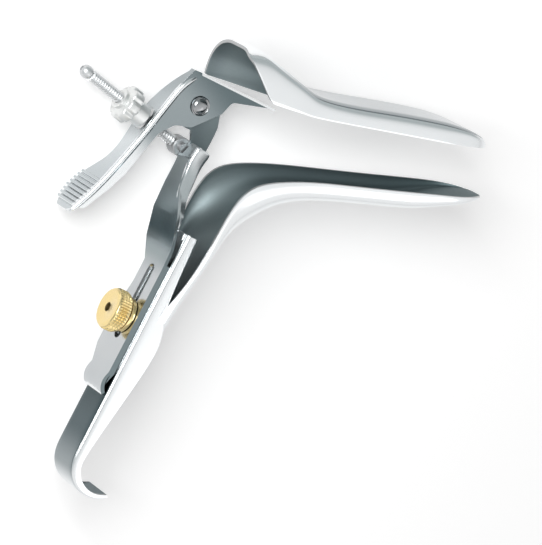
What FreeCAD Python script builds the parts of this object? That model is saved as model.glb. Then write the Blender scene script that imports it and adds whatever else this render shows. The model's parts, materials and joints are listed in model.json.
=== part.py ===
import FreeCAD, Part
import math
import os

# Bivalve speculum lying on its side. All sizes in millimetres.
# Modelling axes: X runs along the blades to their tips, Y from the lower blade to
# the upper one, Z across the blades. The blade hinge is the modelling origin.

# Sheet
BLADE_SHEET = 1.3
HANDLE_SHEET = 1.6
FRAME_SHEET = 1.5
LEVER_SHEET = 1.5

# Blades
LOWER_TIP_X = 128.0
UPPER_TIP_X = 126.5
BLADE_HALF = 16.0
TIP_LENGTH = 28.0
TIP_HALF = 4.0
FLARE_HALF = 18.8
MOUTH_HALF = 18.9
LOWER_RIM_Y = -20.4
LOWER_DEPTH = 8.3
BLADE_CORNER = 6.4
CORNER_FACETS = 4
MOUTH_TOP_Y = 32.5

# Handle: a channel hanging from its head point, leaning back from the blades
HANDLE_LEAN = 108.0
HANDLE_HEAD_X = -9.3
HANDLE_HEAD_Y = -54.6
HANDLE_TOP_T = -5.0
HANDLE_HALF = 10.0
HANDLE_CORNER = 2.2
HANDLE_THROAT_T = 37.5
HANDLE_THROAT_DEPTH = 14.2
HOOK_T = 97.6
HOOK_RADIUS = 14.7
HOOK_SWEEP = 128.0

# Sliding frame on the operator's side of the handle
FRAME_HALF = 9.0
FRAME_FACE_K = 3.0
FRAME_CLEAR = 0.3
FRAME_LIP = 1.2
SLOT_HALF = 2.7
SLOT_TOP_T = 12.4
SLOT_END_T = 47.0
FOOT_T = 60.7
FOOT_END_T = 70.5
ARM_INNER_Z = -19.7
ARM_RADIUS = 11.0
STRIP_WIDTH = 11.0
WING_HALF = 12.4

# Clamp
STUD_T = 36.8
STUD_RADIUS = 2.5
STUD_HEAD_RADIUS = 4.2
STUD_HEAD_HEIGHT = 1.4
WASHER_RADIUS = 7.7
WASHER_THICK = 1.9
KNOB_RADIUS = 8.75
KNOB_HEIGHT = 7.5
KNOB_TEETH = 28
KNOB_EYE_RADIUS = 2.0
STUD_CLEAR = 0.08
FACE_GAP = 0.3

# Hinge of the upper blade and the thumb lever
EAR_GAP = 0.3
RIVET_RADIUS = 3.0
RIVET_HEAD_RADIUS = 4.2
RIVET_HEAD_HEIGHT = 1.4
PIN_CLEAR = 0.08
STRAP_START = (-2.6, 14.3)
STRAP_END = (35.8, 2.2)
STRAP_WIDTH = 2.8
STRAP_THICK = 1.1
LEVER_FACE = ((-5.5, 15.0), (-15.2, 0.6), (-23.4, -13.7), (-30.9, -25.4), (-38.2, -36.0),
              (-51.2, -50.3))
PAD_RIDGES = 8
RIDGE_RADIUS = 0.8
PAD_OUT_Z = -35.8

# Screw that sets the blade angle
SWIVEL_X = -2.5
SWIVEL_Y = -19.2
SCREW_RISE = 151.2
SCREW_LENGTH = 55.8
SCREW_RADIUS = 2.5
SCREW_Z = -25.0
EYE_RADIUS = 4.2
EYE_BORE = 2.0
CAP_RADIUS = 2.9
CAP_DIMPLE = 0.9
NUT_SEAT = 21.7
NUT_HUB_RADIUS = 5.2
NUT_LIFT = 0.8
NUT_FLANGE_RADIUS = 8.0
NUT_FLANGE_THICK = 5.6
NUT_LOBES = 8

V = FreeCAD.Vector
LEAN = math.radians(HANDLE_LEAN)
H_X, H_Y = math.cos(LEAN), -math.sin(LEAN)
K_X, K_Y = -math.sin(LEAN), -math.cos(LEAN)
ARM_OUTER_Z = ARM_INNER_Z - FRAME_SHEET
EAR_OUTER_Z = ARM_INNER_Z + EAR_GAP
EAR_INNER_Z = EAR_OUTER_Z + LEVER_SHEET
WASHER_K = FRAME_FACE_K + FACE_GAP
KNOB_K = WASHER_K + WASHER_THICK + FACE_GAP
RISE = math.radians(SCREW_RISE)
SCREW_DIR = V(math.cos(RISE), math.sin(RISE), 0)
SWIVEL = V(SWIVEL_X, SWIVEL_Y, SCREW_Z)


def hk(t, k, z=0.0):
    """Point t down the handle, k towards the operator from its web face."""
    return V(HANDLE_HEAD_X + t * H_X + k * K_X, HANDLE_HEAD_Y + t * H_Y + k * K_Y, z)


def spline(points):
    curve = Part.BSplineCurve()
    curve.interpolate(points)
    return curve.toShape()


def polygon(points):
    return Part.Wire(Part.makePolygon(points + [points[0]]).Edges)


def rounded(corners):
    """Closed outline through (point, corner radius) pairs."""
    edges = []
    ends = []
    count = len(corners)
    for i in range(count):
        p, r = corners[i]
        a = corners[i - 1][0] - p
        b = corners[(i + 1) % count][0] - p
        a.normalize()
        b.normalize()
        if r <= 0:
            ends.append((p, p))
            continue
        half = a.getAngle(b) / 2
        reach = r / math.tan(half)
        bis = a + b
        bis.normalize()
        near = p + bis * (r / math.sin(half) - r)
        ends.append((p + a * reach, p + b * reach))
        edges.append(Part.Arc(ends[-1][0], near, ends[-1][1]).toShape())
    for i in range(count):
        start, end = ends[i - 1][1], ends[i][0]
        if start.distanceToPoint(end) > 1e-6:
            edges.append(Part.makeLine(start, end))
    return Part.Wire(Part.__sortEdges__(edges))


def slab(wire, along):
    return Part.Face(wire).extrude(along)


def rod(centre, axis, radius, length):
    return Part.makeCylinder(radius, length, centre, axis)


def bent_section(rim, back, half, radius):
    """Closed outline of bent sheet: a web, two faceted round corners and short walls."""
    drop = V(back[0] - rim[0], back[1] - rim[1], 0)
    depth = drop.Length
    drop.normalize()
    origin = V(rim[0], rim[1], 0)
    ring = []
    for inset, turn in ((0.0, 1), (BLADE_SHEET, -1)):
        wide, deep, bend = half - inset, depth - inset, radius - inset
        wall = [(wide, 0.0)]
        for i in range(CORNER_FACETS + 1):
            a = math.pi / 2 * i / CORNER_FACETS
            wall.append((wide - bend + bend * math.cos(a), deep - bend + bend * math.sin(a)))
        ring += [origin + drop * down + V(0, 0, turn * out) for out, down in wall]
        ring += [origin + drop * down - V(0, 0, turn * out) for out, down in reversed(wall)]
    return polygon(ring)


def trough(stations):
    """Blade of bent sheet through its sections, ruled from each to the next."""
    return Part.makeLoft([bent_section(*station) for station in stations], True, True)


def tip_half(back):
    """Half-width of a blade's elliptical tip, at a distance back from its end."""
    share = 1 - min(back / TIP_LENGTH, 1.0)
    return max(BLADE_HALF * math.sqrt(1 - share * share), TIP_HALF)


def lower_blade():
    rim = LOWER_RIM_Y
    base = rim - LOWER_DEPTH
    tip = LOWER_TIP_X
    neck = HANDLE_HALF - 0.4
    stations = [
        ((tip, rim - 0.2), (tip, rim - 2.6), tip_half(0.0), 2.0),
        ((tip - 3, rim - 0.1), (tip - 3, rim - 3.4), tip_half(3.0), 2.8),
        ((tip - 8, rim), (tip - 8, rim - 4.6), tip_half(8.0), 4.0),
        ((tip - 16, rim), (tip - 16, rim - 6.5), tip_half(16.0), 5.6),
        ((tip - 29, rim), (tip - 29, base + 0.4), BLADE_HALF, BLADE_CORNER),
        ((60, rim), (60, base), BLADE_HALF, BLADE_CORNER),
        ((43, rim), (43, base - 0.9), BLADE_HALF + 0.2, BLADE_CORNER + 0.6),
        ((28, rim - 1.0), (29.5, base - 4.0), FLARE_HALF - 1.1, 9.4),
        ((16, rim - 3.0), (21, base - 10.6), FLARE_HALF - 0.2, 13.0),
        ((9.4, rim - 8.0), (14.4, base - 16.4), FLARE_HALF, 14.6),
        ((5.2, rim - 16.2), (9.6, base - 20.8), FLARE_HALF, 12.0),
        ((1.6, -46.5), (5.6, -54.0), FLARE_HALF - 0.3, 7.6),
        (hk(2.5, -8.1), hk(3.5, -12.6), FLARE_HALF - 1.6, 3.9),
        (hk(14.5, -8.6), hk(15.5, -13.7), 14.0, 4.4),
        (hk(25, -7.4), hk(26, -14.6), 11.0, 5.0),
        (hk(38, -6.0), hk(38.5, -15.0), neck, 4.0),
    ]
    return trough(stations)


def strap_y(x):
    """Height of the folded strap along which the ear meets the blade's far wall."""
    share = (x - STRAP_START[0]) / (STRAP_END[0] - STRAP_START[0])
    return STRAP_START[1] + share * (STRAP_END[1] - STRAP_START[1])


def upper_blade():
    tip = UPPER_TIP_X
    top = MOUTH_TOP_Y
    rows = [
        (-4.0, 14.4, top + 0.2, MOUTH_HALF, 17.6),
        (9.0, 12.2, top - 0.9, MOUTH_HALF - 0.2, 16.6),
        (19.5, 10.2, top - 6.9, MOUTH_HALF - 0.9, 12.5),
        (29.0, 8.5, top - 12.3, BLADE_HALF + 1.3, 8.4),
        (38.0, 6.9, top - 16.7, BLADE_HALF + 0.5, 6.0),
        (54.0, 5.7, top - 19.0, BLADE_HALF, 5.2),
        (80.0, 4.0, top - 19.9, BLADE_HALF, 5.2),
        (tip - 28.0, 2.8, top - 21.2, BLADE_HALF, 5.2),
        (tip - 15.0, 1.9, top - 23.4, tip_half(15.0), 4.8),
        (tip - 7.0, 1.3, top - 26.0, tip_half(7.0), 4.0),
        (tip - 3.0, 0.7, top - 28.0, tip_half(3.0), 3.2),
        (tip, 0.0, top - 30.0, tip_half(0.0), 2.1),
    ]
    stations = [((x, low), (x, high), half, radius) for x, low, high, half, radius in rows]
    body = trough(stations)
    skirts = []
    for x, low, high, half, radius in rows[:5]:
        z0, z1 = -half, BLADE_SHEET - half
        y0, y1 = min(strap_y(x) + 0.2, low - 0.3), low + 1.0
        skirts.append(polygon([V(x, y0, z0), V(x, y1, z0), V(x, y1, z1), V(x, y0, z1)]))
    body = body.fuse(Part.makeLoft(skirts, True, True))
    high = top + 20
    mouth = Part.Wire([
        Part.makeLine(V(-30, high, -30), V(-1.0, high, -30)),
        Part.makeLine(V(-1.0, high, -30), V(-0.6, high, -6)),
        spline([V(-0.6, high, -6), V(0.6, high, 6), V(5.6, high, 13), V(12.8, high, 19.5)]),
        Part.makeLine(V(12.8, high, 19.5), V(16, high, 30)),
        Part.makeLine(V(16, high, 30), V(-30, high, 30)),
        Part.makeLine(V(-30, high, 30), V(-30, high, -30))])
    return body.cut(slab(mouth, V(0, -90, 0)))


def handle_side(inset, edge_out):
    """Side outline of the handle and its hook, inset from the operator's face."""
    centre = hk(HOOK_T, -HOOK_RADIUS)
    start = math.atan2(K_Y, K_X)

    def on_hook(radius, sweep):
        a = start + math.radians(sweep)
        return V(centre.x + radius * math.cos(a), centre.y + radius * math.sin(a), 0)

    outer = HOOK_RADIUS - inset
    edges = [Part.makeLine(hk(HANDLE_TOP_T - edge_out, -inset), hk(HOOK_T, -inset)),
             Part.Arc(on_hook(outer, 0), on_hook(outer, HOOK_SWEEP / 2),
                      on_hook(outer, HOOK_SWEEP)).toShape()]
    return edges, on_hook


def handle():
    edges, on_hook = handle_side(0.0, 0.0)
    inner = HOOK_RADIUS - HANDLE_SHEET
    join = 18.0
    t0, t1 = HANDLE_THROAT_T, HOOK_T
    depth = HANDLE_THROAT_DEPTH
    edges.append(Part.makeLine(on_hook(HOOK_RADIUS, HOOK_SWEEP), on_hook(inner, HOOK_SWEEP)))
    edges.append(Part.Arc(on_hook(inner, HOOK_SWEEP), on_hook(inner, HOOK_SWEEP * 0.6),
                          on_hook(inner, join)).toShape())
    back = [on_hook(inner, join), hk(t1 - 6, -5.4), hk(t1 - 22, -8.2), hk(t1 - 38, -11.6),
            hk(t0 + 4, -depth)]
    edges.append(spline(back))
    front = [hk(t0 + 4, -depth), hk(t0 - 2, -depth + 1.6), hk(t0 - 9, -7.2)]
    edges.append(spline(front))
    edges.append(Part.makeLine(hk(t0 - 9, -7.2), hk(HANDLE_TOP_T, -5.2)))
    edges.append(Part.makeLine(hk(HANDLE_TOP_T, -5.2), hk(HANDLE_TOP_T, 0)))
    side = Part.Wire(Part.__sortEdges__(edges))
    side.translate(V(0, 0, -HANDLE_HALF))
    body = slab(side, V(0, 0, 2 * HANDLE_HALF))
    seams = []
    for edge in body.Edges:
        box = edge.BoundBox
        if box.ZLength > 0.01:
            continue
        mid = edge.valueAt((edge.FirstParameter + edge.LastParameter) / 2)
        flat = V(mid.x, mid.y, 0)
        on_web = abs(((flat - hk(0, 0)).x * K_X + (flat - hk(0, 0)).y * K_Y)) < 0.01
        if on_web and edge.Length > 20:
            seams.append(edge)
        centre = hk(HOOK_T, -HOOK_RADIUS)
        if abs(flat.distanceToPoint(centre) - HOOK_RADIUS) < 0.01 and edge.Length > 20:
            seams.append(edge)
    body = body.makeFillet(HANDLE_CORNER if HANDLE_CORNER < HANDLE_SHEET * 0.9
                           else HANDLE_SHEET * 0.85, seams)
    edges, on_hook = handle_side(HANDLE_SHEET, 10.0)
    inner_end = on_hook(HOOK_RADIUS - HANDLE_SHEET, 40)
    web = [Part.makeLine(hk(HANDLE_TOP_T - 10, -HANDLE_SHEET), hk(HOOK_T, -HANDLE_SHEET)),
           Part.Arc(hk(HOOK_T, -HANDLE_SHEET), on_hook(HOOK_RADIUS - HANDLE_SHEET, 20),
                    inner_end).toShape(),
           Part.makeLine(inner_end, hk(HOOK_T, -30)),
           Part.makeLine(hk(HOOK_T, -30), hk(HANDLE_TOP_T - 10, -30)),
           Part.makeLine(hk(HANDLE_TOP_T - 10, -30), hk(HANDLE_TOP_T - 10, -HANDLE_SHEET))]
    hollow = Part.Wire(web)
    wide = HANDLE_HALF - HANDLE_SHEET
    hollow.translate(V(0, 0, -wide))
    body = body.cut(slab(hollow, V(0, 0, 2 * wide)))
    hole = rod(hk(STUD_T, 1), V(-K_X, -K_Y, 0), STUD_RADIUS, HANDLE_SHEET + 3)
    return body.cut(hole)


def clamp_stud():
    axis = V(K_X, K_Y, 0)
    top = KNOB_K + KNOB_HEIGHT - 2.4
    foot = -HANDLE_SHEET
    shank = rod(hk(STUD_T, foot), axis, STUD_RADIUS, top - foot)
    head = rod(hk(STUD_T, foot - STUD_HEAD_HEIGHT), axis, STUD_HEAD_RADIUS, STUD_HEAD_HEIGHT)
    return shank.fuse(head).removeSplitter()


def clamp_washer():
    axis = V(K_X, K_Y, 0)
    disc = rod(hk(STUD_T, WASHER_K), axis, WASHER_RADIUS, WASHER_THICK)
    return disc.cut(rod(hk(STUD_T, WASHER_K - 1), axis, STUD_RADIUS, WASHER_THICK + 2))


def clamp_knob():
    axis = V(K_X, K_Y, 0)
    face = KNOB_K + KNOB_HEIGHT
    root = KNOB_RADIUS - 0.5
    body = rod(hk(STUD_T, KNOB_K), axis, root, KNOB_HEIGHT)
    step = 2 * math.pi / KNOB_TEETH
    corners = []
    for i in range(KNOB_TEETH):
        for share, radius in ((-0.22, root - 0.05), (-0.12, KNOB_RADIUS), (0.12, KNOB_RADIUS),
                              (0.22, root - 0.05)):
            a = (i + share) * step
            along = radius * math.cos(a)
            flat = hk(STUD_T + along, KNOB_K + 0.7)
            corners.append(V(flat.x, flat.y, radius * math.sin(a)))
    teeth = slab(polygon(corners), axis * (KNOB_HEIGHT - 1.4))
    body = body.fuse(teeth)
    bore = rod(hk(STUD_T, KNOB_K - 1), axis, STUD_RADIUS + STUD_CLEAR, KNOB_HEIGHT - 1.0)
    eye = rod(hk(STUD_T, KNOB_K), axis, KNOB_EYE_RADIUS, KNOB_HEIGHT + 1)
    dish = rod(hk(STUD_T, face - 0.4), axis, KNOB_RADIUS - 2.2, 1.0)
    return body.cut(bore).cut(eye).cut(dish)


def frame_stem():
    """Slotted plate with side lips, ending in a foot bowed onto the handle."""
    k1, k0 = FRAME_FACE_K, FRAME_FACE_K - FRAME_SHEET
    top = SLOT_TOP_T - 2
    end = FOOT_END_T
    outer = [hk(FOOT_T, k1), hk((FOOT_T + end) / 2 + 1, k1 + 0.7), hk(end, FRAME_CLEAR + 1.0)]
    inner = [hk(end - 1.3, FRAME_CLEAR), hk((FOOT_T + end) / 2 + 0.6, k0 + 0.5), hk(FOOT_T, k0)]
    edges = [Part.makeLine(hk(top, k1), hk(FOOT_T, k1)), spline(outer),
             Part.makeLine(outer[-1], inner[0]), spline(inner),
             Part.makeLine(hk(FOOT_T, k0), hk(top, k0)), Part.makeLine(hk(top, k0), hk(top, k1))]
    side = Part.Wire(edges)
    side.translate(V(0, 0, -FRAME_HALF))
    body = slab(side, V(0, 0, 2 * FRAME_HALF))
    t0, t1 = STUD_T - 14, FOOT_T
    wing = polygon([hk(t0, k0, 1 - FRAME_HALF), hk(t0, k0, -FRAME_HALF),
                    hk(STUD_T + 2, k0, -WING_HALF), hk(t1 - 8, k0, -WING_HALF),
                    hk(t1, k0, -FRAME_HALF), hk(t1, k0, 1 - FRAME_HALF)])
    body = body.fuse(slab(wing, V(K_X, K_Y, 0) * FRAME_SHEET))
    for z in (-FRAME_HALF, FRAME_HALF - FRAME_LIP):
        lip = polygon([hk(top, k0, z), hk(FOOT_T + 5, k0 + 0.4, z), hk(FOOT_T, FRAME_CLEAR, z),
                       hk(top, FRAME_CLEAR, z)])
        body = body.fuse(slab(lip, V(0, 0, FRAME_LIP)))
    return body.removeSplitter()


def frame_neck():
    """Bent strip that carries the stem across to the arm outside the blades."""
    s = FRAME_SHEET
    f = FRAME_HALF
    k = FRAME_FACE_K
    out = ARM_OUTER_Z
    rows = [
        (SLOT_TOP_T, (f, k), (-f, k), (-f, FRAME_CLEAR)),
        (3.0, (f - 0.6, k + 0.1), (-f - 2.8, k + 3.0), (-f - 3.6, 0.9)),
        (-9.0, (3.2, k + 1.4), (-16.3, k + 3.8), (-17.4, 0.8)),
        (-20.0, (-6.0, k + 1.9), (out + 0.6, k + 2.1), (out, -1.6)),
        (-28.0, (-9.0, k + 1.7), (out, k + 1.7), (out, -5.2)),
        (-33.0, (-10.0, k + 1.9), (out, k + 1.9), (out, -6.0)),
    ]
    wires = []
    for t, near, corner, end in rows:
        along = V(corner[0] - near[0], corner[1] - near[1], 0)
        along.normalize()
        down = V(end[0] - corner[0], end[1] - corner[1], 0)
        down.normalize()
        fold = V(corner[0], corner[1], 0) + (down - along) * s
        ring = [near, corner, end, (end[0] + s, end[1]), (fold.x, fold.y),
                (near[0] + down.x * s, near[1] + down.y * s)]
        wires.append(polygon([hk(t, kk, z) for z, kk in ring]))
    return Part.makeLoft(wires, True, True)


def frame_arm():
    """Flat arm beside the blades, with the round hinge end."""
    z = ARM_OUTER_Z
    k = FRAME_FACE_K
    low = hk(-31.0, k + 1.8)
    corners = [(V(low.x, low.y, z), 0), (V(-3.7, -21.5, z), 3), (V(0.2, -16.5, z), 4),
               (V(-1.6, -8.0, z), 0), (V(0, 0, z), 0), (V(ARM_RADIUS, -1.3, z), 0),
               (V(11.2, -9.1, z), 8), (V(9.5, -14.8, z), 8), (V(6.9, -22.2, z), 0)]
    end = hk(-31.0, -5.7)
    corners.append((V(end.x, end.y, z), 0))
    body = slab(rounded(corners), V(0, 0, FRAME_SHEET))
    disc = rod(V(0, 0, z), V(0, 0, 1), ARM_RADIUS, FRAME_SHEET)
    top = hk(-31.0, k + 1.8)
    strip = [(V(top.x, top.y, z), 0), (V(-3.9, -21.7, z), 3), (V(0.3, -16.2, z), 0),
             (V(1.5, -17.1, z), 0), (V(-2.4, -22.3, z), 0),
             (V(top.x + 1.5, top.y - 0.4, z), 0)]
    body = body.fuse(disc).fuse(slab(rounded(strip), V(0, 0, STRIP_WIDTH)))
    return body


def frame_yoke():
    body = frame_stem().fuse(frame_neck()).fuse(frame_arm())
    axis = V(-K_X, -K_Y, 0)
    h = V(H_X, H_Y, 0)
    deep = FRAME_SHEET + 4
    k = FRAME_FACE_K + 2
    a, b = SLOT_TOP_T + SLOT_HALF, SLOT_END_T - SLOT_HALF
    start = hk(a, k)
    slot = rod(start, axis, SLOT_HALF, deep).fuse(rod(hk(b, k), axis, SLOT_HALF, deep))
    box = polygon([hk(a, k, -SLOT_HALF), hk(b, k, -SLOT_HALF), hk(b, k, SLOT_HALF),
                   hk(a, k, SLOT_HALF)])
    slot = slot.fuse(slab(box, axis * deep))
    body = body.cut(slot)
    zed = V(0, 0, 1)
    body = body.cut(rod(V(0, 0, ARM_OUTER_Z - 1), zed, RIVET_RADIUS, FRAME_SHEET + 2))
    pin = rod(V(SWIVEL_X, SWIVEL_Y, ARM_OUTER_Z - 1), zed, EYE_BORE, FRAME_SHEET + 2)
    return body.cut(pin).removeSplitter()


def lever_path(offset):
    """Operator's face of the thumb lever, moved in by offset."""
    points = [V(x, y, 0) for x, y in LEVER_FACE]
    out = []
    for i in range(len(points)):
        a = points[max(i - 1, 0)]
        b = points[min(i + 1, len(points) - 1)]
        run = b - a
        run.normalize()
        out.append(points[i] + V(-run.y, run.x, 0) * offset)
    return out


def lever_reach():
    """Distance along the screw from its swivel to the lever's face."""
    a, b = LEVER_FACE[1], LEVER_FACE[2]
    run = V(b[0] - a[0], b[1] - a[1], 0)
    start = V(a[0] - SWIVEL_X, a[1] - SWIVEL_Y, 0)
    cross = run.y * SCREW_DIR.x - run.x * SCREW_DIR.y
    return (run.y * start.x - run.x * start.y) / cross


def thumb_lever():
    face = lever_path(0.0)
    inner = lever_path(LEVER_SHEET)
    z0 = EAR_INNER_Z
    wire = Part.Wire([spline(face), Part.makeLine(face[-1], inner[-1]),
                      spline(list(reversed(inner))), Part.makeLine(inner[0], face[0])])
    wire.translate(V(0, 0, z0))
    strip = slab(wire, V(0, 0, PAD_OUT_Z - z0 - 1))
    first, last = face[-3], face[-1]
    for i in range(PAD_RIDGES):
        share = (i + 0.9) / (PAD_RIDGES + 0.4)
        spot = V(-37.6, -35.2, z0) + V(-12.0, -13.2, 0) * share
        strip = strip.fuse(rod(spot, V(0, 0, -1), RIDGE_RADIUS, z0 - PAD_OUT_Z + 1))
    run = last - face[0]
    length = run.Length
    run.normalize()
    side = V(run.y, -run.x, 0)
    base = face[0] - side * 12

    def at(share, z):
        spot = base + run * (length * share)
        return V(spot.x, spot.y, z)

    low = PAD_OUT_Z
    edges = [Part.makeLine(at(-0.1, z0 + 1), at(-0.1, ARM_OUTER_Z - 0.2)),
             Part.makeLine(at(-0.1, ARM_OUTER_Z - 0.2), at(0.02, ARM_OUTER_Z - 0.2)),
             spline([at(0.02, ARM_OUTER_Z - 0.2), at(0.18, -29.0), at(0.36, -32.2),
                     at(0.52, -29.3), at(0.62, -29.3), at(0.76, low), at(0.9, low)]),
             Part.Arc(at(0.9, low), at(1.0, low + 6.5), at(0.97, z0 + 1)).toShape(),
             Part.makeLine(at(0.97, z0 + 1), at(-0.1, z0 + 1))]
    plan = Part.Wire(edges)
    strip = strip.common(slab(plan, side * 40))
    strip = strip.common(Part.makeBox(100, 120, 60, V(-60, -60, low - 5)))
    ear_wire = rounded([
        (face[0], 0), (face[1], 0), (face[2], 0), (face[3], 0), (face[4], 0),
        (V(-48.6, -47.4, 0), 0), (V(-44.6, -49.6, 0), 3), (V(-34.2, -39.5, 0), 0),
        (V(-28.0, -32.3, 0), 0), (V(-21.8, -22.3, 0), 0), (V(-16.5, -13.5, 0), 6),
        (V(-9.7, -9.3, 0), 4), (V(-2.0, -9.6, 0), 3), (V(11.0, -2.4, 0), 3), (V(14.7, 3.0, 0), 3),
        (V(STRAP_END[0], STRAP_END[1], 0), 0), (V(STRAP_START[0], STRAP_START[1], 0), 0)])
    ear_wire.translate(V(0, 0, EAR_OUTER_Z))
    ear = slab(ear_wire, V(0, 0, LEVER_SHEET))
    fall = (STRAP_END[1] - STRAP_START[1]) / (STRAP_END[0] - STRAP_START[0])
    x0, x1 = STRAP_START[0], STRAP_END[0] - 1.0
    strap = polygon([V(x0, strap_y(x0), EAR_OUTER_Z), V(x1, strap_y(x1), EAR_OUTER_Z),
                     V(x1, strap_y(x1) - STRAP_THICK, EAR_OUTER_Z),
                     V(x0 - fall, strap_y(x0) - STRAP_THICK, EAR_OUTER_Z)])
    body = strip.fuse(ear).fuse(slab(strap, V(0, 0, STRAP_WIDTH)))
    zed = V(0, 0, 1)
    body = body.cut(rod(V(0, 0, EAR_OUTER_Z - 1), zed, RIVET_RADIUS + PIN_CLEAR, LEVER_SHEET + 2))
    reach = 12.0
    centre = SWIVEL + SCREW_DIR * (reach + 1)
    half = SCREW_RADIUS + 0.9
    across = V(-SCREW_DIR.y, SCREW_DIR.x, 0)
    window = rounded([(centre + across * 5.6 + V(0, 0, half), half * 0.98),
                      (centre + across * 5.6 - V(0, 0, half), half * 0.98),
                      (centre - across * 5.6 - V(0, 0, half), half * 0.98),
                      (centre - across * 5.6 + V(0, 0, half), half * 0.98)])
    return body.cut(slab(window, SCREW_DIR * 20)).removeSplitter()


def button(centre, axis, radius, height):
    """Low rivet head: a short rim and a broad bevel."""
    rim = height * 0.4
    head = rod(centre, axis, radius, rim)
    bevel = Part.makeCone(radius, radius * 0.55, height - rim, centre + axis * rim, axis)
    return head.fuse(bevel)


def hinge_rivet():
    zed = V(0, 0, 1)
    top = EAR_INNER_Z + FACE_GAP
    shank = rod(V(0, 0, ARM_OUTER_Z), zed, RIVET_RADIUS, top - ARM_OUTER_Z)
    head = button(V(0, 0, top), zed, RIVET_HEAD_RADIUS, RIVET_HEAD_HEIGHT)
    tail = button(V(0, 0, ARM_OUTER_Z), V(0, 0, -1), RIVET_HEAD_RADIUS, RIVET_HEAD_HEIGHT * 0.7)
    return shank.fuse(head).fuse(tail).removeSplitter()


def swivel_pin():
    z_top = ARM_INNER_Z
    z_low = SCREW_Z - EYE_RADIUS - 0.3
    zed = V(0, 0, 1)
    shank = rod(V(SWIVEL_X, SWIVEL_Y, z_low), zed, EYE_BORE, z_top - z_low)
    head = button(V(SWIVEL_X, SWIVEL_Y, z_low), V(0, 0, -1), EYE_BORE + 1.2, 0.9)
    return shank.fuse(head).removeSplitter()


def angle_screw():
    z_top = ARM_OUTER_Z - FACE_GAP
    z_low = SCREW_Z - EYE_RADIUS
    zed = V(0, 0, 1)
    eye = rod(V(SWIVEL_X, SWIVEL_Y, z_low), zed, EYE_RADIUS, z_top - z_low)
    shank = rod(SWIVEL, SCREW_DIR, SCREW_RADIUS, SCREW_LENGTH - CAP_RADIUS * 0.8)
    body = eye.fuse(shank)
    bore = rod(V(SWIVEL_X, SWIVEL_Y, z_low - 1), zed, EYE_BORE + PIN_CLEAR, z_top - z_low + 2)
    return body.cut(bore).removeSplitter()


def screw_end_cap():
    """Stop riveted on the screw's end, bevelled at both ends, with a dimple."""
    centre = SWIVEL + SCREW_DIR * SCREW_LENGTH
    low = CAP_RADIUS * 0.8
    half = CAP_RADIUS * 0.4
    side = SCREW_DIR * -1
    body = rod(centre - SCREW_DIR * half, SCREW_DIR, CAP_RADIUS, 2 * half)
    body = body.fuse(Part.makeCone(CAP_RADIUS, CAP_RADIUS * 0.6, low - half,
                                   centre - SCREW_DIR * half, side))
    body = body.fuse(Part.makeCone(CAP_RADIUS, CAP_RADIUS * 0.5, CAP_RADIUS - half,
                                   centre + SCREW_DIR * half, SCREW_DIR))
    dimple = rod(centre + SCREW_DIR * (CAP_RADIUS - 0.9), SCREW_DIR, CAP_DIMPLE, 2)
    return body.cut(dimple).removeSplitter()


def angle_nut():
    face = SWIVEL + SCREW_DIR * (SCREW_LENGTH - NUT_SEAT)
    back = SCREW_DIR * -1
    flange = rod(face, back, NUT_FLANGE_RADIUS, NUT_FLANGE_THICK)
    across = V(-SCREW_DIR.y, SCREW_DIR.x, 0)
    for i in range(NUT_LOBES):
        a = 2 * math.pi * (i + 0.5) / NUT_LOBES
        out = across * math.cos(a) + V(0, 0, math.sin(a))
        notch = rod(face + out * (NUT_FLANGE_RADIUS + 0.7) + SCREW_DIR, back, 1.9,
                    NUT_FLANGE_THICK + 2)
        flange = flange.cut(notch)
    hub_length = SCREW_LENGTH - NUT_SEAT - lever_reach() - NUT_LIFT
    hub = rod(face, back, NUT_HUB_RADIUS, hub_length)
    collar = rod(face, SCREW_DIR, NUT_HUB_RADIUS - 0.7, 2.2)
    body = flange.fuse(hub).fuse(collar)
    bore = rod(face + SCREW_DIR * 4, back, SCREW_RADIUS + PIN_CLEAR, 30)
    return body.cut(bore).removeSplitter()


PIECES = [
    ("lower_blade", lower_blade),
    ("handle", handle),
    ("clamp_stud", clamp_stud),
    ("clamp_washer", clamp_washer),
    ("clamp_knob", clamp_knob),
    ("frame_yoke", frame_yoke),
    ("hinge_rivet", hinge_rivet),
    ("swivel_pin", swivel_pin),
    ("upper_blade", upper_blade),
    ("thumb_lever", thumb_lever),
    ("angle_screw", angle_screw),
    ("screw_end_cap", screw_end_cap),
    ("angle_nut", angle_nut),
]


def main():
    os.makedirs("parts", exist_ok=True)
    shapes = [(name, make()) for name, make in PIECES]
    box = Part.makeCompound([shape for name, shape in shapes]).optimalBoundingBox(False)
    # The object's origin is on the table under the middle of its outline.
    shift = V(-(box.XMin + box.XMax) / 2, -(box.YMin + box.YMax) / 2, -box.ZMin)
    for name, shape in shapes:
        shape.translate(shift)
        print(name, len(shape.Solids), shape.isValid(), round(shape.Volume, 1))
        shape.exportStep("parts/%s.step" % name)
    print("hinge at", shift, "box", box)


main()
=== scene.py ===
import json
import math

import bmesh
import bpy
from mathutils import Matrix, Vector


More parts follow.
